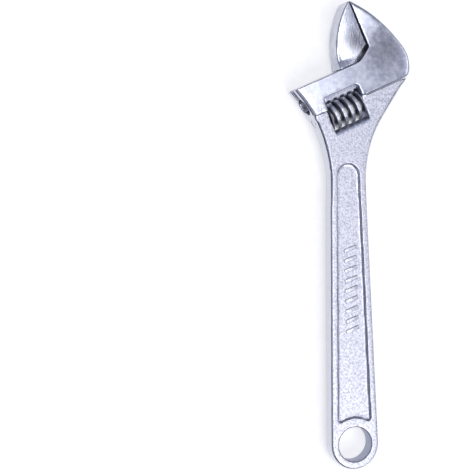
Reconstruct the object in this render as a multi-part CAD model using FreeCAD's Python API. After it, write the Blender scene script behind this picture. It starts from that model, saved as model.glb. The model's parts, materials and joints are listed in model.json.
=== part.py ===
"""Adjustable wrench, 200 mm nominal: a forged body with the fixed jaw, a sliding jaw with its rack,
the worm that drives it, the pin the worm turns on and the spring that takes up the worm's play.

Part frame, millimetres: the origin is the centre of the hang hole on the wrench's middle plane,
+Y runs up the handle to the jaws, +X is the fixed jaw's side and +Z is through the thickness.
The head has a frame of its own, turned by JAW_ANGLE about Z, with its origin in the jaw corner:
there x runs from the sliding jaw to the fixed jaw and y runs up the jaw faces.
"""
import FreeCAD, Part
import math
import os
from FreeCAD import Placement, Rotation, Vector

# Forging
OVERALL_LENGTH = 203.2
JAW_ANGLE = 22.5
HEAD_THICKNESS = 13.3
HANDLE_THICKNESS = 7.6
NECK_THICKNESS = 9.6
END_RADIUS = 11.1
HANDLE_HALF_WIDTH = 8.4  # at the narrowest place, just under the neck
NARROW_BELOW_TIPS = 79.0  # from the jaw tips down to that place
CORNER_OFFSET = 11.5  # jaw corner, sideways from the handle's centre line
HEAD_ROUND = 1.6
STEP_SHARE = 0.9  # most of the step between head and neck that the head's rounding may take
HANDLE_ROUND = 1.2

# Fixed jaw and neck
JAW_HEIGHT = 25.7
TIP_FLAT = 0.4
BACK_RADIUS = 66.0
HEEL_RADIUS = 12.8
HEEL_CENTRE = Vector(3.25, -5.0, 0)
NECK_RADIUS = 51.0
THROAT_RUN = 6.2
THROAT_RISE = 4.2
THROAT_ROUND = 6.0
HEAD_REACH = 38.3  # from the jaw corner out to the open end of the slot
STEP_DROP = 13.7  # from the slot line down to where the thick head ends
NECK_TAPER = 26.0  # length over which the neck thins down to the handle

# Sliding jaw
JAW_GAP = 0.3  # between the faces when the wrench is closed
JAW_OPENING = 24.5
JAW_THICKNESS = 11.0
JAW_BACK_RADIUS = 38.0
JAW_FOOT = 15.6  # length of the sliding jaw along the slot
JAW_ROUND = 0.8
JAW_CHAMFER_RUN = 9.2
JAW_CHAMFER_RISE = 5.8

# Rack, the web that joins it to the jaw, and the keyhole channel they run in
RACK_RADIUS = 3.9
RACK_DEPTH = 8.5  # rack's axis below the slot line
RACK_HOLD = 6.3  # length of rack still in the worm when the jaws are fully open
RACK_SETBACK = 0.8  # from the worm's left end in to the rack's open end when closed
WEB_THICKNESS = 3.6
WEB_INSET = 1.3
FOOT_CLEARANCE = 0.1
RACK_CLEARANCE = 0.1
WEB_CLEARANCE = 0.15
END_CLEARANCE = 0.6

# Worm and its window
PITCH = 3.5
WORM_RADIUS = 6.4
WORM_LENGTH = 16.4
WORM_CHAMFER = 0.4
THREAD_DEPTH = 2.25
CREST_WIDTH = 1.45
FLANK_ANGLE = 14.0
THREAD_CLEARANCE = 0.15
TIP_CLEARANCE = 0.15
WINDOW_HEIGHT = 17.0
WINDOW_INSET = 11.2  # window's near side from the plane of the jaw faces
WINDOW_ROUND = 1.6
WORM_PLAY = 0.3

# Pin and spring
PIN_RADIUS = 1.8
PIN_RUNNING_CLEARANCE = 0.05
PIN_SEAT_CLEARANCE = 0.02
PIN_SEAT = 5.0  # length of pin held beyond the window
PIN_RECESS = 0.3
PIN_BEVEL = 0.3
SPRING_WIRE = 0.5
SPRING_TURNS = 5
SPRING_LENGTH = 4.0
SPRING_CLEARANCE = 0.3
SPRING_END_CLEARANCE = 0.05

# Handle
HANG_HOLE_RADIUS = 7.5
HOLE_BEVEL = 0.3
PANEL_DEPTH = 1.2
PANEL_RIM = 3.3
PANEL_TOP_BELOW_TIPS = 70.0
PANEL_END_RADIUS = 11.6  # panel's lower edge, about the hang hole's centre
PANEL_ROUND = 1.2

# Worked out from the sizes above
ORIGIN = Vector(0, 0, 0)
ALONG = Vector(1, 0, 0)
UP = Vector(0, 0, 1)
BIG = 2 * OVERALL_LENGTH
TIP_Y = OVERALL_LENGTH - END_RADIUS
NARROW = Vector(HANDLE_HALF_WIDTH, TIP_Y - NARROW_BELOW_TIPS, 0)
JAW_CORNER = Vector(CORNER_OFFSET, TIP_Y - JAW_HEIGHT * math.cos(math.radians(JAW_ANGLE)), 0)
HEAD = Placement(JAW_CORNER, Rotation(UP, JAW_ANGLE))
CHANNEL_RADIUS = RACK_RADIUS + RACK_CLEARANCE
THREAD_ROOT = WORM_RADIUS - THREAD_DEPTH
WORM_DEPTH = RACK_DEPTH + RACK_RADIUS + TIP_CLEARANCE + THREAD_ROOT
WINDOW_RIGHT = -WINDOW_INSET
WINDOW_LEFT = WINDOW_RIGHT - WORM_LENGTH - 2 * WORM_PLAY
WORM_START = WINDOW_LEFT + WORM_PLAY
RACK_INSET = WORM_START + RACK_HOLD + JAW_OPENING  # rack's inner end from the plane of the jaw faces
RACK_LENGTH = RACK_INSET - WORM_START - RACK_SETBACK
SPRING_RADIUS = PIN_RADIUS + SPRING_CLEARANCE + SPRING_WIRE / 2
POCKET_RADIUS = SPRING_RADIUS + SPRING_WIRE / 2 + SPRING_CLEARANCE
FLANK = math.tan(math.radians(FLANK_ANGLE))
RUN_ON = 8.0  # degrees by which a curved edge runs on past the place where it is cut off
TOLERANCE = 1e-4


# Small tools for outlines and solids

def in_head(point):
    """A head-frame point in the part frame."""
    return HEAD.multVec(point)


def place_head(shape):
    """A shape built in the head frame, moved to its place in the part frame."""
    return shape.transformed(HEAD.toMatrix())


def left_of(direction):
    return Vector(-direction.y, direction.x, 0)


def polar(angle):
    return Vector(math.cos(angle), math.sin(angle), 0)


def bearing(vector):
    return math.atan2(vector.y, vector.x)


def mirrored(point):
    return Vector(-point.x, point.y, point.z)


def line(a, b):
    return Part.LineSegment(a, b).toShape()


def arc_about(centre, start, end, turn):
    """Arc about centre from start to end: turn is 1 for anticlockwise and -1 for clockwise."""
    a = bearing(start - centre)
    sweep = (turn * (bearing(end - centre) - a)) % (2 * math.pi)
    through = centre + polar(a + turn * sweep / 2) * (start - centre).Length
    return Part.Arc(start, through, end).toShape()


def circles_meet(c1, r1, c2, r2):
    """The two points where two circles meet."""
    gap = c2 - c1
    along = (r1 * r1 - r2 * r2 + gap.Length ** 2) / (2 * gap.Length)
    height = math.sqrt(r1 * r1 - along * along)
    base = c1 + gap * (along / gap.Length)
    side = left_of(gap) * (height / gap.Length)
    return base + side, base - side


def turned_about(centre, point, degrees):
    return centre + Rotation(UP, degrees).multVec(point - centre)


def slab(wire, thickness):
    """Flat outline raised to a thickness, centred on the middle plane."""
    solid = Part.Face(wire).extrude(UP * thickness)
    solid.translate(UP * (-thickness / 2))
    return solid


def polygon(*points):
    corners = [Vector(x, y, 0) for x, y in points]
    return Part.makePolygon(corners + corners[:1])


def upright_edges(solid, *places):
    """Edges that run through the thickness at the given places."""
    found = []
    for edge in solid.Edges:
        a, b = edge.Vertexes[0].Point, edge.Vertexes[-1].Point
        level = abs(a.z - b.z) < TOLERANCE
        if not level and any(math.hypot(a.x - p.x, a.y - p.y) < TOLERANCE for p in places):
            found.append(edge)
    return found


def middle(edge):
    return edge.valueAt((edge.FirstParameter + edge.LastParameter) / 2)


def rod(radius, x_from, x_to, y):
    """Cylinder along the head's x axis."""
    return Part.makeCylinder(radius, x_to - x_from, Vector(x_from, y, 0), ALONG)


def bevel_ends(cylinder, size):
    rims = [edge for edge in cylinder.Edges if edge.Curve.TypeId == "Part::GeomCircle"]
    return cylinder.makeChamfer(size, rims)


def both_sides(tool):
    return tool.fuse(tool.mirror(ORIGIN, UP))


# Outline of the forging

def handle_tangent():
    """Where the handle's right edge leaves the rounded end."""
    angle = bearing(NARROW) - math.acos(END_RADIUS / NARROW.Length)
    return polar(angle) * END_RADIUS


def arm_arc():
    """Centre and radius of the hollow left edge, tangent to the handle and ending at the arm."""
    start = mirrored(NARROW)
    chord = in_head(Vector(-HEAD_REACH, 0, 0)) - start
    side = left_of(start - mirrored(handle_tangent())).normalize()
    radius = chord.dot(chord) / (2 * chord.dot(side))
    return start + side * radius, radius


def forging_outline():
    """Closed outline of the forging with the mouth still filled in, anticlockwise."""
    end_right = handle_tangent()
    handle_up = (NARROW - end_right).normalize()

    # Right side: hollow neck, straight flank, round heel and the fixed jaw's long back
    neck_centre = NARROW - left_of(handle_up) * NECK_RADIUS
    heel = in_head(HEEL_CENTRE)
    span = heel - neck_centre
    normal = polar(bearing(span) + math.acos((NECK_RADIUS + HEEL_RADIUS) / span.Length))
    flank_low = neck_centre + normal * NECK_RADIUS
    flank_high = heel - normal * HEEL_RADIUS
    tip_back = in_head(Vector(TIP_FLAT, JAW_HEIGHT, 0))
    centres = circles_meet(heel, BACK_RADIUS - HEEL_RADIUS, tip_back, BACK_RADIUS)
    back_centre = min(centres, key=lambda centre: centre.x)
    heel_top = heel + (heel - back_centre).normalize() * HEEL_RADIUS
    arm_centre, arm_radius = arm_arc()

    # The back and the arm's edge run on past the tips, and the mouth is cut out of them later
    back_far = turned_about(back_centre, tip_back, RUN_ON)
    arm_far = turned_about(arm_centre, in_head(Vector(-HEAD_REACH, 0, 0)), RUN_ON)
    return Part.Wire([
        line(end_right, NARROW),
        arc_about(neck_centre, NARROW, flank_low, -1),
        line(flank_low, flank_high),
        arc_about(heel, flank_high, heel_top, 1),
        arc_about(back_centre, heel_top, back_far, 1),
        line(back_far, arm_far),
        arc_about(arm_centre, arm_far, mirrored(NARROW), -1),
        line(mirrored(NARROW), mirrored(end_right)),
        arc_about(ORIGIN, mirrored(end_right), end_right, 1),
    ])


# Cuts in the forging, built in the head frame

def neck_relief():
    """What is taken off above the neck and the handle, from the head's step to the handle's end."""
    head, neck, handle = HEAD_THICKNESS / 2, NECK_THICKNESS / 2, HANDLE_THICKNESS / 2
    drop = neck - handle
    radius = (NECK_TAPER ** 2 + drop ** 2) / (2 * drop)
    half = math.asin(NECK_TAPER / radius) / 2
    step = -STEP_DROP
    top = 2 * head
    low = Vector(0, step, neck)
    centre = Vector(0, step - NECK_TAPER, handle + radius)
    through = centre + Vector(0, math.sin(half), -math.cos(half)) * radius
    taper_end = Vector(0, step - NECK_TAPER, handle)
    wire = Part.Wire([
        line(Vector(0, step, top), low),
        Part.Arc(low, through, taper_end).toShape(),
        line(taper_end, Vector(0, -BIG, handle)),
        line(Vector(0, -BIG, handle), Vector(0, -BIG, top)),
        line(Vector(0, -BIG, top), Vector(0, step, top)),
    ])
    tool = Part.Face(wire).extrude(ALONG * (2 * BIG))
    tool.translate(ALONG * -BIG)
    return tool


def mouth():
    """The space between the jaws, above the slot line, and all that lies past the tips."""
    low = Vector(-THROAT_RUN, 0, 0)
    wire = polygon(
        (-BIG, 0), (low.x, low.y), (0, THROAT_RISE), (0, JAW_HEIGHT),
        (BIG, JAW_HEIGHT), (BIG, BIG), (-BIG, BIG),
    )
    tool = slab(wire, 2 * HEAD_THICKNESS)
    return tool.makeFillet(THROAT_ROUND, upright_edges(tool, low))


def keyhole():
    """The channel for the rack and the slot for its web, open at the arm's end."""
    bore = rod(CHANNEL_RADIUS, -BIG, RACK_INSET + END_CLEARANCE, -RACK_DEPTH)
    right = END_CLEARANCE - WEB_INSET
    width = WEB_THICKNESS + 2 * WEB_CLEARANCE
    slot = slab(polygon((-BIG, -RACK_DEPTH), (right, -RACK_DEPTH), (right, BIG), (-BIG, BIG)), width)
    return bore.fuse(slot)


def window():
    low, high = -WORM_DEPTH - WINDOW_HEIGHT / 2, -WORM_DEPTH + WINDOW_HEIGHT / 2
    corners = [(WINDOW_LEFT, low), (WINDOW_RIGHT, low), (WINDOW_RIGHT, high), (WINDOW_LEFT, high)]
    tool = slab(polygon(*corners), 2 * HEAD_THICKNESS)
    places = [Vector(x, y, 0) for x, y in corners]
    return tool.makeFillet(WINDOW_ROUND, upright_edges(tool, *places))


def pin_hole():
    return rod(PIN_RADIUS + PIN_SEAT_CLEARANCE, -BIG, WINDOW_RIGHT + PIN_SEAT, -WORM_DEPTH)


# Cuts in the handle, built in the part frame

def hang_hole():
    depth = HANDLE_THICKNESS
    bore = Part.makeCylinder(HANG_HOLE_RADIUS, depth, UP * (-depth / 2))
    rim = Part.makeCone(
        HANG_HOLE_RADIUS, HANG_HOLE_RADIUS + HOLE_BEVEL, HOLE_BEVEL, UP * (depth / 2 - HOLE_BEVEL)
    )
    return bore.fuse(both_sides(rim))


def panel():
    """Cutter for the sunk panel in the handle's front face: its sides follow the handle's edges."""
    end_right = handle_tangent()
    up = (NARROW - end_right).normalize()
    lean = math.asin(-up.x)
    edge = NARROW + left_of(up) * PANEL_RIM
    width = edge.x + (edge.y - NARROW.y) * math.tan(lean)
    apex = TIP_Y - PANEL_TOP_BELOW_TIPS
    reach = width * math.cos(lean) + (NARROW.y - apex) * math.sin(lean)
    radius = reach / (1 - math.sin(lean))
    centre = Vector(0, apex - radius, 0)
    top_right = centre - left_of(up) * radius
    along = -top_right.dot(up)
    offset = (top_right + up * along).Length
    low_right = top_right + up * (along + math.sqrt(PANEL_END_RADIUS ** 2 - offset ** 2))
    wire = Part.Wire([
        line(low_right, top_right),
        arc_about(centre, top_right, mirrored(top_right), 1),
        line(mirrored(top_right), mirrored(low_right)),
        arc_about(ORIGIN, mirrored(low_right), low_right, -1),
    ])
    tool = slab(wire, HEAD_THICKNESS)
    tool.translate(UP * (HANDLE_THICKNESS / 2 - PANEL_DEPTH + HEAD_THICKNESS / 2))
    return tool.makeFillet(PANEL_ROUND, upright_edges(tool, low_right, mirrored(low_right)))


def round_rims(solid, wire):
    """Rounds the long edges of the faces: the head's first, then the neck's and the handle's."""
    head, neck, handle = HEAD_THICKNESS / 2, NECK_THICKNESS / 2, HANDLE_THICKNESS / 2
    head_round = min(HEAD_ROUND, STEP_SHARE * (head - neck))
    for low, high, radius in ((head, head, head_round), (handle, neck, HANDLE_ROUND)):
        rims = []
        for edge in solid.Edges:
            spot = middle(edge)
            if not low - TOLERANCE < abs(spot.z) < high + TOLERANCE:
                continue
            flat = Part.Vertex(spot.x, spot.y, 0)
            # The straight edge that closes the outline past the tips is cut away with the mouth
            local = HEAD.inverse().multVec(spot)
            past_mouth = local.y > JAW_HEIGHT / 2 and -HEAD_REACH < local.x < 0
            if wire.distToShape(flat)[0] < TOLERANCE and not past_mouth:
                rims.append(edge)
        solid = solid.makeFillet(radius, rims)
    return solid


# The pieces

def body():
    wire = forging_outline()
    solid = slab(wire, HEAD_THICKNESS).cut(place_head(both_sides(neck_relief()))).Solids[0]
    solid = round_rims(solid, wire)
    for tool in (mouth(), keyhole(), window(), pin_hole()):
        solid = solid.cut(place_head(tool))
    for tool in (hang_hole(), both_sides(panel())):
        solid = solid.cut(tool)
    return solid


def tooth_gaps():
    """Cutter for the rack: the worm's thread with clearance all round, straight at its lead angle."""
    top = WORM_RADIUS + TIP_CLEARANCE
    low = THREAD_ROOT - TIP_CLEARANCE
    half_top = CREST_WIDTH / 2 + THREAD_CLEARANCE - TIP_CLEARANCE * FLANK
    half_low = half_top + (top - low) * FLANK
    lead = PITCH / (math.pi * (WORM_RADIUS + THREAD_ROOT))
    sweep = Vector(lead, 0, 1) * (2 * RACK_RADIUS)
    tools = []
    count = math.ceil(RACK_LENGTH / PITCH) + 1
    first = math.floor((RACK_INSET - RACK_LENGTH - WORM_START) / PITCH)
    for index in range(first, first + count + 1):
        x = WORM_START + (index + 0.5) * PITCH
        wire = polygon(
            (x - half_top, top - WORM_DEPTH), (x + half_top, top - WORM_DEPTH),
            (x + half_low, low - WORM_DEPTH), (x - half_low, low - WORM_DEPTH),
        )
        tool = Part.Face(wire).extrude(sweep)
        tool.translate(sweep * -0.5)
        tools.append(tool)
    return tools


def movable_jaw():
    tip = Vector(-JAW_GAP - TIP_FLAT, JAW_HEIGHT, 0)
    foot = Vector(-JAW_GAP - JAW_FOOT, 0, 0)
    centre = max(circles_meet(tip, JAW_BACK_RADIUS, foot, JAW_BACK_RADIUS), key=lambda c: c.x)
    above = turned_about(centre, tip, -RUN_ON)
    below = turned_about(centre, foot, RUN_ON)
    blank = slab(Part.Wire([
        arc_about(centre, above, below, 1),
        line(below, Vector(BIG, below.y, 0)),
        line(Vector(BIG, below.y, 0), Vector(BIG, above.y, 0)),
        line(Vector(BIG, above.y, 0), above),
    ]), JAW_THICKNESS)
    rims = [e for e in blank.Edges if e.Curve.TypeId == "Part::GeomCircle"]
    blank = blank.makeFillet(JAW_ROUND, rims)
    keep = slab(polygon(
        (-JAW_GAP, JAW_HEIGHT), (-BIG, JAW_HEIGHT), (-BIG, FOOT_CLEARANCE),
        (-JAW_CHAMFER_RUN, FOOT_CLEARANCE), (-JAW_GAP, JAW_CHAMFER_RISE),
    ), 2 * JAW_THICKNESS)
    jaw = blank.common(keep)
    web = slab(polygon(
        (foot.x, -RACK_DEPTH), (-WEB_INSET, -RACK_DEPTH),
        (-WEB_INSET, JAW_CHAMFER_RISE), (foot.x + JAW_ROUND, JAW_CHAMFER_RISE),
    ), WEB_THICKNESS)
    rack = rod(RACK_RADIUS, RACK_INSET - RACK_LENGTH, RACK_INSET, -RACK_DEPTH)
    for gap in tooth_gaps():
        rack = rack.cut(gap)
    return place_head(jaw.fuse([web, rack]).removeSplitter())


def lay_along(shape):
    """A shape built round Z from the worm's left end, laid on the worm's axis in the part frame."""
    turn = Rotation(Vector(0, 1, 0), UP, ALONG, "ZXY")
    spot = Placement(Vector(WORM_START, -WORM_DEPTH, 0), turn)
    return place_head(shape.transformed(spot.toMatrix()))


def worm():
    blank = Part.makeCylinder(WORM_RADIUS, WORM_LENGTH)
    outside = WORM_RADIUS + TIP_CLEARANCE
    half_out = (PITCH - CREST_WIDTH) / 2 + TIP_CLEARANCE * FLANK
    half_root = (PITCH - CREST_WIDTH) / 2 - THREAD_DEPTH * FLANK
    profile = Part.makePolygon([
        Vector(THREAD_ROOT, 0, -half_root - PITCH), Vector(outside, 0, -half_out - PITCH),
        Vector(outside, 0, half_out - PITCH), Vector(THREAD_ROOT, 0, half_root - PITCH),
        Vector(THREAD_ROOT, 0, -half_root - PITCH),
    ])
    turns = []
    for index in range(math.ceil(WORM_LENGTH / PITCH) + 2):
        turn = Part.makeHelix(PITCH, PITCH, THREAD_ROOT)
        turn.translate(UP * (PITCH * (index - 1)))
        turns.extend(turn.Edges)
    groove = Part.Wire(turns).makePipeShell([profile], True, True)
    bore = Part.makeCylinder(PIN_RADIUS + PIN_RUNNING_CLEARANCE, 2 * WORM_LENGTH, UP * -PITCH)
    depth = SPRING_LENGTH - WORM_PLAY + SPRING_END_CLEARANCE
    pocket = Part.makeCylinder(POCKET_RADIUS, 2 * depth, UP * (WORM_LENGTH - depth))
    threaded = blank.cut(bore).cut(pocket).cut(groove)
    return lay_along(threaded.common(bevel_ends(blank, WORM_CHAMFER)).Solids[0])


def worm_pin():
    """Plain pin from just inside the arm's edge, through the worm, to its seat past the window."""
    centre, radius = arm_arc()
    start = HEAD.inverse().multVec(centre)
    edge = start.x + math.sqrt(radius ** 2 - (start.y + WORM_DEPTH) ** 2)
    pin = rod(PIN_RADIUS, edge + PIN_RECESS, WINDOW_RIGHT + PIN_SEAT - PIN_RECESS, -WORM_DEPTH)
    return place_head(bevel_ends(pin, PIN_BEVEL))


def worm_spring():
    """Open coil round the pin, between the window's wall and the floor of the worm's pocket."""
    rise = SPRING_LENGTH - SPRING_WIRE - 2 * SPRING_END_CLEARANCE
    helix = Part.makeHelix(rise / SPRING_TURNS, rise, SPRING_RADIUS)
    start = Vector(SPRING_RADIUS, 0, 0)
    wire = Part.Wire(Part.makeCircle(SPRING_WIRE / 2, start, Vector(0, 1, 0)))
    coil = Part.Wire(helix.Edges).makePipeShell([wire], True, True)
    coil.translate(UP * (WORM_LENGTH + WORM_PLAY - SPRING_END_CLEARANCE - SPRING_WIRE / 2 - rise))
    return lay_along(coil)


PIECES = {
    "body": body,
    "movable_jaw": movable_jaw,
    "worm": worm,
    "worm_pin": worm_pin,
    "worm_spring": worm_spring,
}

if __name__ == "__main__":
    os.makedirs("parts", exist_ok=True)
    for name, build in PIECES.items():
        build().exportStep("parts/" + name + ".step")
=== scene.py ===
"""Adjustable wrench: a chrome-plated drop forging with a sliding jaw and a worm."""

import json
import math

import bpy
import numpy as np
from bpy.props import FloatProperty, FloatVectorProperty, IntProperty, PointerProperty
from mathutils import Matrix, Vector

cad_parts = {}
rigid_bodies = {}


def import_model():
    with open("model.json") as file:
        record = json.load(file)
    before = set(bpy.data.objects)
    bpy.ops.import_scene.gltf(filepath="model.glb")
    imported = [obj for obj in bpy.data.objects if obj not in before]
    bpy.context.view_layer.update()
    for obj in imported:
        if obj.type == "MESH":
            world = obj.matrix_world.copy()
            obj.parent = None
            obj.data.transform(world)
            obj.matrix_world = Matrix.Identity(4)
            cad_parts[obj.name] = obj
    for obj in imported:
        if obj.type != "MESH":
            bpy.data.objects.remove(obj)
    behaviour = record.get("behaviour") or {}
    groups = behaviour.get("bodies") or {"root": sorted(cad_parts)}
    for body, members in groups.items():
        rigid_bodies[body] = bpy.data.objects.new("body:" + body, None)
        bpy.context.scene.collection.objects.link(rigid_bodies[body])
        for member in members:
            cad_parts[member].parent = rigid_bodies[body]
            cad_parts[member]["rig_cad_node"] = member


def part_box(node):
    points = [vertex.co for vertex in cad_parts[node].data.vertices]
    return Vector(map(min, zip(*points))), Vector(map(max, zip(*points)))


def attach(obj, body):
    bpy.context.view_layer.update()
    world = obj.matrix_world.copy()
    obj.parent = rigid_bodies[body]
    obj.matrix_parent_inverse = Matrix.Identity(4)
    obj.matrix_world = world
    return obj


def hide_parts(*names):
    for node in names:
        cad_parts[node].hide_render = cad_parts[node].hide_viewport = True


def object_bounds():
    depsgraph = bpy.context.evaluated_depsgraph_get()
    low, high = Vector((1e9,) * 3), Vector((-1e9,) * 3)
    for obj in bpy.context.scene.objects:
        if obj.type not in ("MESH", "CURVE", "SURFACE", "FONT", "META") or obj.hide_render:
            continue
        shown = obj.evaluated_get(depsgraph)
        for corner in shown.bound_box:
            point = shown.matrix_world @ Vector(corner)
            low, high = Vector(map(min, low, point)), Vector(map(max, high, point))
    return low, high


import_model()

bl_info = {
    "name": "Adjustable Wrench",
    "version": (1, 0, 0),
    "blender": (4, 5, 0),
    "location": "3D View > Sidebar > Wrench",
    "description": "Builds the visible pieces of an adjustable wrench round its CAD frame",
    "category": "Object",
}

MM = 0.001
HEAD_FACE = (4.9 * MM, 5.5 * MM)  # heights where the pebbled skin gives way to the ground face
CAD_LOW, CAD_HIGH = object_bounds()

# The head is turned from the handle. Its frame has u towards the fixed jaw and v up the jaw faces.
HEAD_TURN = math.radians(22.5)
HEAD_U = Vector((math.cos(HEAD_TURN), math.sin(HEAD_TURN), 0))
HEAD_V = Vector((-math.sin(HEAD_TURN), math.cos(HEAD_TURN), 0))
JAW_CORNER = Vector((11.5 * MM, 168.36 * MM, 0))
STEP_DROP = 13.7 * MM
WINDOW_LEFT = -28.2 * MM
WINDOW_RIGHT = -11.2 * MM
WINDOW_FOOT = -25.2 * MM
# Boxes in the head's frame: left, right, foot and top
WINDOW = (WINDOW_LEFT, WINDOW_RIGHT, WINDOW_FOOT, WINDOW_FOOT + 17 * MM)
MOUTH = (-7 * MM, 0.6 * MM, -1 * MM, 24 * MM)
WORM_LOW, WORM_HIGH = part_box("worm")
WORM_CENTRE = (WORM_LOW + WORM_HIGH) / 2
WORM_RADIUS = (WORM_HIGH.z - WORM_LOW.z) / 2
HANG_HOLE_RADIUS = 7.5 * MM

PANEL_FLOOR = 2.6 * MM
BAR_START = 50 * MM
BAR_PITCH = 4.4 * MM
BAR_LENGTH = 6.2 * MM
BAR_WIDTH = 1.7 * MM
BAR_SHIFT = 0.4 * MM
BAR_SLANT = math.radians(20)
BAR_BEVEL = 0.28 * MM
BAR_SUNK = 0.15 * MM  # how far each bar's foot is let into the panel

# Where the forging's worn shape sets in: (nothing yet, in full), or one limit.
# ACROSS and HEIGHT are from the middle line and the middle plane, UP_HANDLE from the hang hole,
# BELOW_SLOT down from the line that the sliding jaw runs along.
WINDOW_MARGIN = 1.5 * MM
RACK_MARGIN = 2 * MM
STEP_BAND = (0.6 * MM, 2.4 * MM)
STEP_HEIGHT = (4.0 * MM, 4.6 * MM)
RIM_UP_HANDLE = (100 * MM, 118 * MM)
RIM_BELOW_SLOT = (15.5 * MM, 17 * MM)
RIM_HEIGHT = (1.6 * MM, 2.6 * MM)
RIM_STEEPEST = 0.98
PANEL_CLEAR_UP_HANDLE = 124 * MM
PANEL_CLEAR_ACROSS = 6.2 * MM
SWELL_UP_HANDLE = (98 * MM, 120 * MM)
SWELL_END_UP_HANDLE = (172 * MM, 156 * MM)
SWELL_ACROSS = 6 * MM
CROWN_HEIGHT = (4.0 * MM, 6.2 * MM)
CROWN_TOP = 5 * MM  # along the head, where the crown is highest
ARM_REACH = 41 * MM
HEEL_REACH = 13 * MM
HEEL_SHARE = 0.6  # of the crown's fall at the arm's end
TIP_REACH = 26 * MM
TIP_WIDTH = 8 * MM
TIP_SHARE = 0.8
FOOT_HEIGHT = (5.8 * MM, 1.5 * MM)
FOOT_BAND = 0.9 * MM
STEP_PASSES = 24  # smoothing at the foot of the thick head
NECK_RIM_PASSES = 90

JAW_CROWN_TOP = -1 * MM
JAW_CROWN_REACH = 12 * MM
JAW_CROWN_HEIGHT = (2.5 * MM, 5 * MM)
JAW_WEAR = 3
WORM_WEAR = 2
CREST = (WORM_RADIUS - 0.7 * MM, WORM_RADIUS - 0.2 * MM)
CREASE_ANGLE = math.radians(50)

FLOOR_SIZE = 6.0
CAMERA_PLACE = Vector((-184.03, 105.72, 475.04)) * MM
CAMERA_TARGET = Vector((-50.68, 92.89, 0.0)) * MM
CAMERA_ROLL = -0.0285
CAMERA_LENS = 89.08


# ---------------------------------------------------------------- small helpers


def linear(code):
    """A linear RGBA colour from an sRGB hex code."""
    parts = [int(code[i : i + 2], 16) / 255 for i in (1, 3, 5)]
    return (*[p / 12.92 if p <= 0.04045 else ((p + 0.055) / 1.055) ** 2.4 for p in parts], 1.0)


def node_object(name):
    """The scene's object for a CAD node."""
    return next(o for o in bpy.context.scene.objects if o.get("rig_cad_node") == name)


def pick_only(obj):
    """Select one object, make it active, and nothing else."""
    bpy.ops.object.select_all(action="DESELECT")
    obj.select_set(True)
    bpy.context.view_layer.objects.active = obj


def settle(obj):
    """Put the object's place into its mesh, so that the object sits at the origin."""
    pick_only(obj)
    bpy.ops.object.transform_apply(location=True, rotation=True, scale=True)


def smooth_finish(obj, angle=None):
    """Smooth shading all over, or only across edges flatter than the angle."""
    pick_only(obj)
    if angle is None:
        bpy.ops.object.shade_smooth()
    else:
        bpy.ops.object.shade_smooth_by_angle(angle=angle)


def merged_copy(node, name):
    """A copy of a CAD node's mesh as one closed skin."""
    obj = bpy.data.objects.new(name, node_object(node).data.copy())
    bpy.context.scene.collection.objects.link(obj)
    obj.data.materials.clear()
    pick_only(obj)
    bpy.ops.mesh.customdata_custom_splitnormals_clear()
    bpy.ops.object.mode_set(mode="EDIT")
    bpy.ops.mesh.select_all(action="SELECT")
    bpy.ops.mesh.remove_doubles(threshold=0.002 * MM)
    bpy.ops.object.mode_set(mode="OBJECT")
    return obj


def forged_skin(obj, grain, passes):
    """An even skin of small faces with its sharp corners worn round, as tumbling leaves them."""
    pick_only(obj)
    skin = obj.modifiers.new("skin", "REMESH")
    skin.mode = "VOXEL"
    skin.voxel_size = grain
    bpy.ops.object.modifier_apply(modifier=skin.name)
    worn = obj.modifiers.new("worn", "SMOOTH")
    worn.factor = 0.5
    worn.iterations = passes
    bpy.ops.object.modifier_apply(modifier=worn.name)


def points_of(obj):
    """The mesh's points and point normals as two arrays."""
    count = len(obj.data.vertices)
    places = np.zeros(count * 3, np.float32)
    normals = np.zeros(count * 3, np.float32)
    obj.data.vertices.foreach_get("co", places)
    obj.data.vertex_normals.foreach_get("vector", normals)
    return places.reshape(-1, 3).astype(float), normals.reshape(-1, 3).astype(float)


def put_points(obj, places):
    """Write an array of points back to the mesh."""
    obj.data.vertices.foreach_set("co", places.astype(np.float32).ravel())
    obj.data.update()


def ramp(value, low, high):
    """0 below low, 1 above high, and a smooth rise between."""
    t = np.clip((value - low) / (high - low), 0, 1)
    return t * t * (3 - 2 * t)


def in_head(places):
    """Distances along the head's own axes, from the corner of the jaws."""
    out = places - np.array(JAW_CORNER)
    return out @ np.array(HEAD_U), out @ np.array(HEAD_V)


def clear_of_window(along, up):
    """True away from the worm's window and the slot for the jaw's rack."""
    beside = (along < WINDOW_LEFT - RACK_MARGIN) | (along > WINDOW_RIGHT + RACK_MARGIN)
    return beside | (up < WINDOW_FOOT - RACK_MARGIN)


def soften(obj, weights, passes):
    """Smooth the skin where the weights say, as a die's wide fillet does."""
    group = obj.vertex_groups.new(name="soft")
    for level in range(1, 5):
        share = level / 4
        near = np.nonzero(np.abs(np.round(weights * 4) / 4 - share) < 0.01)[0]
        group.add([int(i) for i in near], share, "REPLACE")
    pick_only(obj)
    fillet = obj.modifiers.new("fillet", "SMOOTH")
    fillet.vertex_group = group.name
    fillet.factor = 0.5
    fillet.iterations = passes
    bpy.ops.object.modifier_apply(modifier=fillet.name)
    obj.vertex_groups.remove(obj.vertex_groups["soft"])


# ---------------------------------------------------------------- materials


def add(tree, kind, settings=None, inputs=None, stops=None):
    """Add a node with its settings, its input values or links, and its ramp's stops."""
    node = tree.nodes.new(kind)
    for key, value in (settings or {}).items():
        setattr(node, key, value)
    if stops:
        ramp_of = node.color_ramp
        while len(ramp_of.elements) < len(stops):
            ramp_of.elements.new(0.5)
        for element, (place, colour) in zip(ramp_of.elements, stops):
            element.position = place
            element.color = colour if hasattr(colour, "__len__") else (colour,) * 3 + (1,)
    for key, value in (inputs or {}).items():
        if isinstance(value, bpy.types.NodeSocket):
            tree.links.new(value, node.inputs[key])
        else:
            node.inputs[key].default_value = value
    return node


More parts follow.
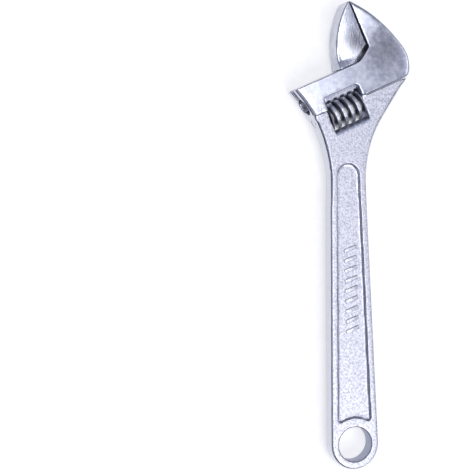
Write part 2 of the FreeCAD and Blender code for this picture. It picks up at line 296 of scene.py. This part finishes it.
def new_material(name):
    """An empty node material with its output, and the object coordinates to drive it."""
    material = bpy.data.materials.new(name)
    material.use_nodes = True
    tree = material.node_tree
    tree.nodes.clear()
    output = add(tree, "ShaderNodeOutputMaterial")
    place = add(tree, "ShaderNodeTexCoord").outputs["Object"]
    return material, tree, output, place


def calc(tree, operation, *values):
    """The result of a math node on numbers or sockets."""
    return add(tree, "ShaderNodeMath", {"operation": operation}, dict(enumerate(values))).outputs[0]


def vector_calc(tree, operation, *values):
    """The result of a vector math node; a length or a distance comes from its other output."""
    node = add(tree, "ShaderNodeVectorMath", {"operation": operation}, dict(enumerate(values)))
    return node.outputs["Value" if operation in ("LENGTH", "DISTANCE") else "Vector"]


def eased(tree, value, low, high, least=0.0):
    """A value that rises smoothly from least at low to 1 at high."""
    return add(
        tree, "ShaderNodeMapRange", {"interpolation_type": "SMOOTHSTEP"},
        {"Value": value, "From Min": low, "From Max": high, "To Min": least},
    ).outputs["Result"]


def spread(tree, value, at_low, at_high):
    """A noise from 0.3 to 0.7, spread over two other values."""
    return add(
        tree, "ShaderNodeMapRange",
        inputs={
            "Value": value, "From Min": 0.3, "From Max": 0.7, "To Min": at_low, "To Max": at_high,
        },
    ).outputs["Result"]


def blended(tree, factor, first, second):
    """A colour between two others."""
    return add(
        tree, "ShaderNodeMix", {"data_type": "RGBA"}, {"Factor": factor, 6: first, 7: second},
    ).outputs[2]


def between(tree, factor, first, second):
    """A number between two others."""
    return add(
        tree, "ShaderNodeMix", {"data_type": "FLOAT"}, {"Factor": factor, 2: first, 3: second},
    ).outputs[0]


def toned(tree, value, *stops):
    """A colour ramp over a noise."""
    return add(
        tree, "ShaderNodeValToRGB", inputs={"Fac": value}, stops=stops,
    ).outputs["Color"]


def laid_along_head(tree, place, origin):
    """Object coordinates turned into the head's frame, from an origin."""
    return add(
        tree, "ShaderNodeMapping", {"vector_type": "TEXTURE"},
        {"Vector": place, "Location": tuple(origin), "Rotation": (0, 0, HEAD_TURN)},
    ).outputs["Vector"]


def combed_up_head(tree, place, stretch):
    """Object coordinates squeezed along the jaw faces, so that a noise draws streaks that way."""
    return add(
        tree, "ShaderNodeMapping",
        inputs={"Vector": place, "Rotation": (0, 0, -HEAD_TURN), "Scale": (1.0, stretch, 1.0)},
    ).outputs["Vector"]


def raised(tree, height, strength, distance):
    """A bump from a height."""
    return add(
        tree, "ShaderNodeBump",
        inputs={"Height": height, "Strength": strength, "Distance": distance},
    ).outputs["Normal"]


def finish_metal(tree, output, shade, dull, bump):
    """The metal shader that every steel and plated piece ends in."""
    metal = add(
        tree, "ShaderNodeBsdfPrincipled",
        inputs={"Base Color": shade, "Metallic": 1.0, "Roughness": dull, "Normal": bump},
    )
    tree.links.new(metal.outputs[0], output.inputs["Surface"])


def noise(tree, place, size, detail=2.0, rough=0.5):
    """A noise whose blobs are about this size across, in metres."""
    return add(
        tree, "ShaderNodeTexNoise",
        inputs={"Vector": place, "Scale": 1 / size, "Detail": detail, "Roughness": rough},
    ).outputs["Fac"]


def painted_shade_round(tree, place, shade, clouds, centre, reach, least):
    """Painted shade: a colour darkened on both faces round a centre, to a least share, with an
    uneven edge.
    """
    flat_place = vector_calc(tree, "MULTIPLY", place, (1, 1, 0))
    from_centre = vector_calc(tree, "DISTANCE", flat_place, tuple(centre))
    frayed = calc(tree, "MULTIPLY_ADD", clouds, 0.7 * reach, from_centre)
    share = eased(tree, frayed, 0.45 * reach, 1.35 * reach, least)
    return scaled(tree, shade, share)


def scaled(tree, shade, share):
    """A colour times a share."""
    return add(
        tree, "ShaderNodeVectorMath", {"operation": "SCALE"}, {0: shade, "Scale": share},
    ).outputs["Vector"]


def outside_box(tree, head_place, left, right, foot, top):
    """1 outside a box in the head's frame and 0 inside it."""
    near = vector_calc(
        tree, "SUBTRACT", head_place, ((left + right) / 2, (foot + top) / 2, 0)
    )
    gap = vector_calc(tree, "ABSOLUTE", near)
    parts = add(tree, "ShaderNodeSeparateXYZ", inputs={"Vector": gap}).outputs
    over = [
        calc(tree, "GREATER_THAN", parts[axis], half + 0.35 * MM)
        for axis, half in (("X", (right - left) / 2), ("Y", (top - foot) / 2))
    ]
    return calc(tree, "MAXIMUM", *over)


def chrome_forging(sizes):
    """Satin chrome plate on drop-forged steel, shot-blasted and tumbled, with a belt-ground head.

    The plate follows the pebbled die skin on the handle; on the head the belt leaves
    fine scratches and cloudy patches. Painted shade greys the head round the fixed jaw's
    thick middle and darkens the hang hole, the window and the mouth.
    """
    material, tree, output, place = new_material("satin_chrome_on_forged_steel")
    plate = tuple(sizes.chrome) + (1,)
    axes = add(tree, "ShaderNodeSeparateXYZ", inputs={"Vector": place}).outputs
    facing = add(tree, "ShaderNodeTexCoord").outputs["Normal"]
    tilt = add(tree, "ShaderNodeSeparateXYZ", inputs={"Vector": facing}).outputs["Z"]
    face = eased(tree, calc(tree, "ABSOLUTE", tilt), 0.8, 0.97)
    head = eased(tree, calc(tree, "ABSOLUTE", axes["Z"]), *HEAD_FACE)

    # cloudy patches about 2.4 mm across, and grains of 0.8 mm (twice the real grit, to show)
    clouds = noise(tree, place, 2.4 * MM, 5.0, 0.72)
    grains = noise(tree, place, 0.8 * MM, 2.0, 0.65)
    cloud_shade = toned(tree, clouds, (0.34, linear("#ADB0C2")), (0.62, plate))
    # painted shade: the head's colour darkens round the fixed jaw's thick middle
    thick_middle = JAW_CORNER + 5 * MM * HEAD_U + 1 * MM * HEAD_V
    cloud_shade = painted_shade_round(tree, place, cloud_shade, clouds, thick_middle, 14 * MM, 0.6)
    grain_shade = toned(tree, grains, (0.36, linear("#AAABB8")), (0.6, linear("#D6D7DE")))
    face_shade = blended(tree, head, grain_shade, cloud_shade)
    side_shade = blended(tree, face, plate, face_shade)

    # painted shade darkens the hang hole, the window and the mouth, darkest in the mouth; there the
    # plate is also rougher and has no texture bump, out of the buff's reach
    flat_place = vector_calc(tree, "MULTIPLY", place, (1, 1, 0))
    from_hole = vector_calc(tree, "LENGTH", flat_place)
    outside = eased(tree, from_hole, HANG_HOLE_RADIUS, HANG_HOLE_RADIUS + 0.4 * MM)
    head_place = laid_along_head(tree, place, JAW_CORNER)
    ground_face = calc(tree, "MULTIPLY", face, head)
    open_window, open_mouth = (
        calc(tree, "MAXIMUM", outside_box(tree, head_place, *box), ground_face)
        for box in (WINDOW, MOUTH)
    )
    open_side = calc(tree, "MINIMUM", open_window, open_mouth)
    buffed_and_unshaded = calc(tree, "MINIMUM", open_side, outside)
    # painted shade in the hang hole, the window and the mouth, darkest in the mouth
    painted_recess_shade = blended(tree, open_mouth, linear("#6C6F7C"), linear("#AEB2C2"))
    shade = blended(tree, buffed_and_unshaded, painted_recess_shade, side_shade)

    # the belt's scratches run up the head, along the jaw faces; they are half a millimetre apart,
    # several times coarser than real ones, to show
    scratches = noise(tree, combed_up_head(tree, place, 0.12), 0.5 * MM, 2.0, 0.6)
    face_dull = between(tree, head, 0.42, spread(tree, clouds, 0.28, 0.34))
    outer_dull = between(tree, face, 0.16, face_dull)
    dull = between(tree, buffed_and_unshaded, 0.5, outer_dull)
    relief = between(tree, head, grains, calc(tree, "MULTIPLY", scratches, 0.25))
    textured = calc(tree, "MINIMUM", face, buffed_and_unshaded)
    bump = raised(tree, calc(tree, "MULTIPLY", relief, textured), 0.6, 0.14 * MM)
    finish_metal(tree, output, shade, dull, bump)
    return material


def ground_chrome(sizes):
    """Chrome plate on a belt-ground steel jaw: fine scratches along the jaw, cloudy patches, and
    painted shade darkening the jaw's face round its middle.
    """
    material, tree, output, place = new_material("ground_chrome_on_steel")
    # 0.6 mm apart, several times coarser than real ones, to show
    scratches = noise(tree, combed_up_head(tree, place, 0.15), 0.6 * MM, 3.0, 0.6)
    clouds = noise(tree, place, 4 * MM, 2.0, 0.5)
    plate = tuple(sizes.chrome) + (1,)
    shade = toned(tree, clouds, (0.35, linear("#BDC0CE")), (0.62, plate))
    # painted shade: the jaw's colour darkens round the middle of its face, in streaks along the
    # scratches
    middle = JAW_CORNER - 5 * MM * HEAD_U + 9 * MM * HEAD_V
    shade = painted_shade_round(tree, place, shade, scratches, middle, 8 * MM, 0.45)
    dull = spread(tree, scratches, 0.22, 0.36)
    finish_metal(tree, output, shade, dull, raised(tree, scratches, 0.25, 0.08 * MM))
    return material


def turned_steel(name, sizes, size, low, high, painted_root_shade=False):
    """Turned, hardened and oiled steel with worn spots of uneven tone; on a thread, painted shade
    darkens the roots.
    """
    material, tree, output, place = new_material(name)
    wear = noise(tree, place, size, 3.0, 0.6)
    steel = tuple(sizes.steel) + (1,)
    shade = toned(tree, wear, (0.3, linear("#BCBFC8")), (0.56, steel))
    if painted_root_shade:
        # painted shade: darker towards the thread's roots, down to 0.3 of the colour at the root
        spoke = vector_calc(
            tree, "MULTIPLY", laid_along_head(tree, place, WORM_CENTRE), (0, 1, 1)
        )
        reach = vector_calc(tree, "LENGTH", spoke)
        share = eased(tree, reach, WORM_RADIUS - 1.9 * MM, WORM_RADIUS - 0.4 * MM, 0.3)
        shade = scaled(tree, shade, share)
    dull = spread(tree, wear, high, low)
    finish_metal(tree, output, shade, dull, raised(tree, wear, 0.06, 0.05 * MM))
    return material


def white_board(sizes):
    """Matt white card, faintly uneven, bright enough to read as a studio sweep."""
    material, tree, output, place = new_material("matt_white_card")
    fibres = noise(tree, place, 3 * MM, 2.0, 0.5)
    shade = toned(tree, fibres, (0.3, linear("#B9B9BB")), (0.7, tuple(sizes.card) + (1,)))
    card = add(
        tree, "ShaderNodeBsdfPrincipled",
        inputs={
            "Base Color": shade,
            "Roughness": 0.9,
            "Emission Color": (1, 1, 1, 1),
            "Emission Strength": sizes.card_glow,
        },
    )
    tree.links.new(card.outputs[0], output.inputs["Surface"])
    return material


# ---------------------------------------------------------------- lights and camera


def soft_light(name, at, towards, size, power):
    """A square soft box facing a point."""
    data = bpy.data.lights.new(name, "AREA")
    data.shape = "SQUARE"
    data.size = size
    data.energy = power
    obj = bpy.data.objects.new(name, data)
    bpy.context.scene.collection.objects.link(obj)
    obj.location = at
    obj.rotation_euler = (Vector(towards) - Vector(at)).to_track_quat("-Z", "Y").to_euler()
    return obj


def place_camera(scene):
    """A long lens from above the left side, rolled a little."""
    ahead = (CAMERA_TARGET - CAMERA_PLACE).normalized()
    right = ahead.cross(Vector((0, 1, 0))).normalized()
    up = right.cross(ahead)
    turned_right = right * math.cos(CAMERA_ROLL) + up * math.sin(CAMERA_ROLL)
    turned_up = up * math.cos(CAMERA_ROLL) - right * math.sin(CAMERA_ROLL)
    data = bpy.data.cameras.new("camera")
    data.lens = CAMERA_LENS
    data.sensor_width = 36.0
    data.clip_start = 0.01
    data.clip_end = 20.0
    obj = bpy.data.objects.new("camera", data)
    scene.collection.objects.link(obj)
    turn = Matrix((turned_right, turned_up, -ahead)).transposed()
    obj.matrix_world = Matrix.Translation(CAMERA_PLACE) @ turn.to_4x4()
    scene.camera = obj


# ---------------------------------------------------------------- sizes and colours


class WrenchSizes(bpy.types.PropertyGroup):
    """Sizes and colours that a user would change."""

    forging_grain: FloatProperty(
        name="Forging grain", description="Face size of the forging's skin",
        default=0.41 * MM, unit="LENGTH", precision=5,
    )
    forging_wear: IntProperty(
        name="Forging wear", description="Smoothing passes that round the forging's corners",
        default=3,
    )
    head_crown: FloatProperty(
        name="Head crown", description="How far the head's faces fall to the end of the arm",
        default=1.2 * MM, unit="LENGTH", precision=5,
    )
    neck_swell: FloatProperty(
        name="Neck swell", description="How far the neck stands out on the fixed jaw's side",
        default=0.6 * MM, unit="LENGTH", precision=5,
    )
    foot_slope: FloatProperty(
        name="Window foot slope", description="How far the window's foot comes in at mid-thickness",
        default=1.95 * MM, unit="LENGTH", precision=5,
    )
    jaw_grain: FloatProperty(
        name="Jaw grain", description="Face size of the jaw's skin",
        default=0.25 * MM, unit="LENGTH", precision=5,
    )
    jaw_crown: FloatProperty(
        name="Jaw crown", description="How far the jaw's faces fall from its middle to its back",
        default=0.95 * MM, unit="LENGTH", precision=5,
    )
    worm_grain: FloatProperty(
        name="Worm grain", description="Face size of the worm's skin",
        default=0.15 * MM, unit="LENGTH", precision=5,
    )
    knurl_teeth: IntProperty(
        name="Knurl teeth", description="Notches round each crest of the worm", default=30,
    )
    knurl_depth: FloatProperty(
        name="Knurl depth", description="Depth of the notches in the worm's crests",
        default=0.03 * MM, unit="LENGTH", precision=5,
    )
    bar_count: IntProperty(
        name="Grip bars", description="Raised bars on each panel", default=9,
    )
    bar_height: FloatProperty(
        name="Bar height", description="How far the bars stand up from the panel",
        default=0.45 * MM, unit="LENGTH", precision=5,
    )
    chrome: FloatVectorProperty(
        name="Chrome", description="Colour of the chrome plate",
        default=linear("#CFD1D9")[:3], subtype="COLOR", min=0, max=1,
    )
    steel: FloatVectorProperty(
        name="Steel", description="Colour of the worm's bare steel",
        default=linear("#DCDEE3")[:3], subtype="COLOR", min=0, max=1,
    )
    card: FloatVectorProperty(
        name="Card", description="Colour of the floor",
        default=linear("#C4C4C4")[:3], subtype="COLOR", min=0, max=1,
    )
    card_glow: FloatProperty(
        name="Card glow", description="Light that the floor gives of its own", default=0.6,
    )


# ---------------------------------------------------------------- the forging's worn shape


def fillet_step(obj):
    """A wide fillet where the thick head drops to the neck."""
    places, _ = points_of(obj)
    along, up = in_head(places)
    high = np.abs(places[:, 2])
    clear = (along < WINDOW_LEFT - WINDOW_MARGIN) | (along > WINDOW_RIGHT + WINDOW_MARGIN)
    near_step = 1 - ramp(np.abs(up + STEP_DROP), *STEP_BAND)
    soften(obj, near_step * clear * ramp(high, *STEP_HEIGHT), STEP_PASSES)


def wear_neck_rim(obj):
    """The neck's rim, which is worn rounder than the handle's."""
    places, normals = points_of(obj)
    along, up = in_head(places)
    high = np.abs(places[:, 2])
    tall = ramp(places[:, 1], *RIM_UP_HANDLE) * ramp(-up, *RIM_BELOW_SLOT)
    rim = ramp(high, *RIM_HEIGHT) * (np.abs(normals[:, 2]) < RIM_STEEPEST)
    outer = places[:, 1] > PANEL_CLEAR_UP_HANDLE
    outer |= np.abs(places[:, 0]) > PANEL_CLEAR_ACROSS
    outer &= clear_of_window(along, up)
    soften(obj, tall * rim * outer, NECK_RIM_PASSES)


def swell_neck(obj, swell):
    """The neck's edge, which stands out on the fixed jaw's side."""
    places, normals = points_of(obj)
    along, up = in_head(places)
    none, full = SWELL_END_UP_HANDLE
    share = ramp(places[:, 1], *SWELL_UP_HANDLE) * ramp(-places[:, 1], -none, -full)
    share = share * (places[:, 0] > SWELL_ACROSS) * clear_of_window(along, up)
    outward = normals * (1, 1, 0)
    places += outward * (swell * share)[:, None]
    put_points(obj, places)


def crown_head(obj, crown, slope):
    """Ground faces that fall away to the arm, the heel and the tip; the window's sloping foot."""
    places, normals = points_of(obj)
    along, up = in_head(places)
    high = np.abs(places[:, 2])
    to_arm = np.clip((CROWN_TOP - along) / ARM_REACH, 0, 1) ** 2
    to_heel = np.clip((along - CROWN_TOP) / HEEL_REACH, 0, 1) ** 2
    to_tip = np.clip(up / TIP_REACH, 0, 1) * np.clip((TIP_WIDTH - along) / TIP_WIDTH, 0, 1)
    fall = crown * (to_arm + HEEL_SHARE * to_heel + TIP_SHARE * to_tip)
    above_step = ramp(up, -STEP_DROP - 1 * MM, -STEP_DROP + 1 * MM)
    fall = fall * ramp(high, *CROWN_HEIGHT) * above_step
    places[:, 2] -= np.sign(places[:, 2]) * fall

    # the foot comes in towards the worm from both faces
    facing_worm = (normals @ np.array(HEAD_V) > 0.5) & (np.abs(up - WINDOW_FOOT) < FOOT_BAND)
    facing_worm &= (along > WINDOW_LEFT) & (along < WINDOW_RIGHT)
    none, full = FOOT_HEIGHT
    lift = slope * np.clip((none - high) / (none - full), 0, 1) * facing_worm
    from_left = ramp(along, WINDOW_LEFT, WINDOW_LEFT + 1 * MM)
    from_right = ramp(-along, -WINDOW_RIGHT, -WINDOW_RIGHT + 1 * MM)
    places += np.outer(lift * (from_left * from_right), np.array(HEAD_V))
    put_points(obj, places)


# ---------------------------------------------------------------- operators


class WRENCH_OT_forging(bpy.types.Operator):
    """Makes the forged handle and head from the CAD body, with its corners worn round"""

    bl_idname = "wrench.forging"
    bl_label = "Forged handle and head"

    def execute(self, context):
        sizes = context.scene.wrench_sizes
        obj = merged_copy("body", "forged_handle")
        forged_skin(obj, sizes.forging_grain, sizes.forging_wear)
        fillet_step(obj)
        wear_neck_rim(obj)
        swell_neck(obj, sizes.neck_swell)
        crown_head(obj, sizes.head_crown, sizes.foot_slope)
        smooth_finish(obj)
        obj.data.materials.append(chrome_forging(sizes))
        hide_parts("body")
        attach(obj, "body")
        return {"FINISHED"}


class WRENCH_OT_grip_bars(bpy.types.Operator):
    """Raises a row of slanted bars on both panels of the handle"""

    bl_idname = "wrench.grip_bars"
    bl_label = "Raised bars on the panels"

    def execute(self, context):
        sizes = context.scene.wrench_sizes
        thick = sizes.bar_height + BAR_SUNK
        bars = []
        for side in (1, -1):
            for index in range(sizes.bar_count):
                bpy.ops.object.select_all(action="DESELECT")
                level = side * (PANEL_FLOOR - BAR_SUNK + thick / 2)
                bpy.ops.mesh.primitive_cube_add(
                    size=1, location=(BAR_SHIFT, BAR_START + BAR_PITCH * index, level),
                    scale=(BAR_LENGTH, BAR_WIDTH, thick), rotation=(0, 0, BAR_SLANT),
                )
                bar = bpy.context.object
                settle(bar)
                bpy.ops.object.mode_set(mode="EDIT")
                bpy.ops.mesh.select_all(action="SELECT")
                bpy.ops.mesh.bevel(offset=BAR_BEVEL, segments=3, profile=0.5)
                bpy.ops.object.mode_set(mode="OBJECT")
                bars.append(bar)
        bpy.ops.object.select_all(action="DESELECT")
        for bar in bars:
            bar.select_set(True)
        bpy.context.view_layer.objects.active = bars[0]
        bpy.ops.object.join()
        row = bpy.context.object
        row.name = row.data.name = "grip_bars"
        settle(row)
        smooth_finish(row, CREASE_ANGLE)
        row.data.materials.append(bpy.data.materials["satin_chrome_on_forged_steel"])
        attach(row, "body")
        return {"FINISHED"}


class WRENCH_OT_movable_jaw(bpy.types.Operator):
    """Makes the sliding jaw from the CAD jaw, with crowned faces and soft corners"""

    bl_idname = "wrench.movable_jaw"
    bl_label = "Sliding jaw"

    def execute(self, context):
        sizes = context.scene.wrench_sizes
        obj = merged_copy("movable_jaw", "sliding_jaw")
        forged_skin(obj, sizes.jaw_grain, JAW_WEAR)
        places, _ = points_of(obj)
        along, up = in_head(places)
        fall = sizes.jaw_crown * np.clip((JAW_CROWN_TOP - along) / JAW_CROWN_REACH, 0, 1) ** 2
        fall = fall * ramp(up, 0, 4 * MM) * ramp(np.abs(places[:, 2]), *JAW_CROWN_HEIGHT)
        places[:, 2] -= np.sign(places[:, 2]) * fall
        put_points(obj, places)
        smooth_finish(obj)
        obj.data.materials.append(ground_chrome(sizes))
        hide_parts("movable_jaw")
        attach(obj, "jaw")
        return {"FINISHED"}


class WRENCH_OT_worm(bpy.types.Operator):
    """Makes the worm from the CAD worm, with a knurl notched across its crests"""

    bl_idname = "wrench.worm"
    bl_label = "Worm"

    def execute(self, context):
        sizes = context.scene.wrench_sizes
        obj = merged_copy("worm", "knurled_worm")
        forged_skin(obj, sizes.worm_grain, WORM_WEAR)
        places, _ = points_of(obj)
        out = places - np.array(WORM_CENTRE)
        across = out @ np.array(HEAD_V)
        reach = np.hypot(across, out[:, 2])
        turn = np.arctan2(out[:, 2], across)
        notch = (0.5 + 0.5 * np.cos(sizes.knurl_teeth * turn)) ** 2
        crest = ramp(reach, *CREST)
        cut = sizes.knurl_depth * notch * crest
        scale = (reach - cut) / np.maximum(reach, 1e-9)
        side = np.outer(across, np.array(HEAD_V)) + np.outer(out[:, 2], np.array((0, 0, 1)))
        put_points(obj, places + side * (scale - 1)[:, None])
        smooth_finish(obj)
        steel = turned_steel("turned_hardened_steel", sizes, 1.6 * MM, 0.3, 0.38, painted_root_shade=True)
        obj.data.materials.append(steel)
        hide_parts("worm")
        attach(obj, "worm")
        return {"FINISHED"}


class WRENCH_OT_pin_and_spring(bpy.types.Operator):
    """Gives the worm's pin and spring their steel"""

    bl_idname = "wrench.pin_and_spring"
    bl_label = "Pin and spring finishes"

    def execute(self, context):
        sizes = context.scene.wrench_sizes
        finishes = (
            ("worm_pin", turned_steel("ground_pin_steel", sizes, 0.8 * MM, 0.2, 0.35)),
            ("worm_spring", turned_steel("drawn_spring_wire", sizes, 0.5 * MM, 0.25, 0.4)),
        )
        for node, material in finishes:
            for place in node_object(node).material_slots:
                place.material = material
        return {"FINISHED"}


class WRENCH_OT_stage(bpy.types.Operator):
    """Sets the pale floor, the soft lights and the camera"""

    bl_idname = "wrench.stage"
    bl_label = "Floor, lights and camera"

    def execute(self, context):
        sizes = context.scene.wrench_sizes
        scene = context.scene
        bpy.ops.object.select_all(action="DESELECT")
        bpy.ops.mesh.primitive_plane_add(
            size=FLOOR_SIZE, location=(0, 0.1, CAD_LOW.z - 0.02 * MM)
        )
        floor = bpy.context.object
        floor.name = "floor"
        settle(floor)
        floor.data.materials.append(white_board(sizes))

        soft_light("key_light", (0.20, -0.42, 0.85), (0.0, 0.03, 0.0), 0.60, 3.7)
        soft_light("left_light", (-0.02, 0.22, 0.95), (-0.02, 0.14, 0.0), 0.42, 2.4)
        soft_light("right_light", (0.85, 0.30, 0.60), (0.02, 0.15, 0.0), 0.5, 1.6)

        world = bpy.data.worlds.new("studio")
        scene.world = world
        world.use_nodes = True
        tree = world.node_tree
        tree.nodes.clear()
        out = add(tree, "ShaderNodeOutputWorld")
        way = add(tree, "ShaderNodeTexCoord").outputs["Generated"]
        up = add(tree, "ShaderNodeSeparateXYZ", inputs={"Vector": way}).outputs["Z"]
        # a dark band at the horizon, which draws the dark lines along the rims, and a pale sky
        sky = toned(
            tree, up,
            (0.0, linear("#1C2034")), (0.3, linear("#2C3046")),
            (0.5, linear("#B4B8CC")), (0.85, linear("#9A9DB2")),
        )
        glow = add(tree, "ShaderNodeBackground", inputs={"Color": sky, "Strength": 1.0})
        tree.links.new(glow.outputs[0], out.inputs["Surface"])

        place_camera(scene)
        scene.view_settings.view_transform = "Standard"
        scene.view_settings.look = "None"
        return {"FINISHED"}


STEPS = (
    WRENCH_OT_forging,
    WRENCH_OT_grip_bars,
    WRENCH_OT_movable_jaw,
    WRENCH_OT_worm,
    WRENCH_OT_pin_and_spring,
    WRENCH_OT_stage,
)


class WRENCH_PT_pieces(bpy.types.Panel):
    """Lists the wrench's pieces and its sizes"""

    bl_label = "Adjustable Wrench"
    bl_idname = "WRENCH_PT_pieces"
    bl_space_type = "VIEW_3D"
    bl_region_type = "UI"
    bl_category = "Wrench"

    def draw(self, context):
        for step in STEPS:
            self.layout.operator(step.bl_idname)
        for name in WrenchSizes.__annotations__:
            self.layout.prop(context.scene.wrench_sizes, name)


CLASSES = (WrenchSizes, *STEPS, WRENCH_PT_pieces)


def register():
    """Adds the operators, the panel and the sizes."""
    for each in CLASSES:
        bpy.utils.register_class(each)
    bpy.types.Scene.wrench_sizes = PointerProperty(type=WrenchSizes)


def unregister():
    """Takes them away again."""
    del bpy.types.Scene.wrench_sizes
    for each in reversed(CLASSES):
        bpy.utils.unregister_class(each)


def main():
    """Builds the wrench and its stage."""
    register()
    for step in STEPS:
        group, name = step.bl_idname.split(".")
        getattr(getattr(bpy.ops, group), name)()


if __name__ == "__main__":
    main()
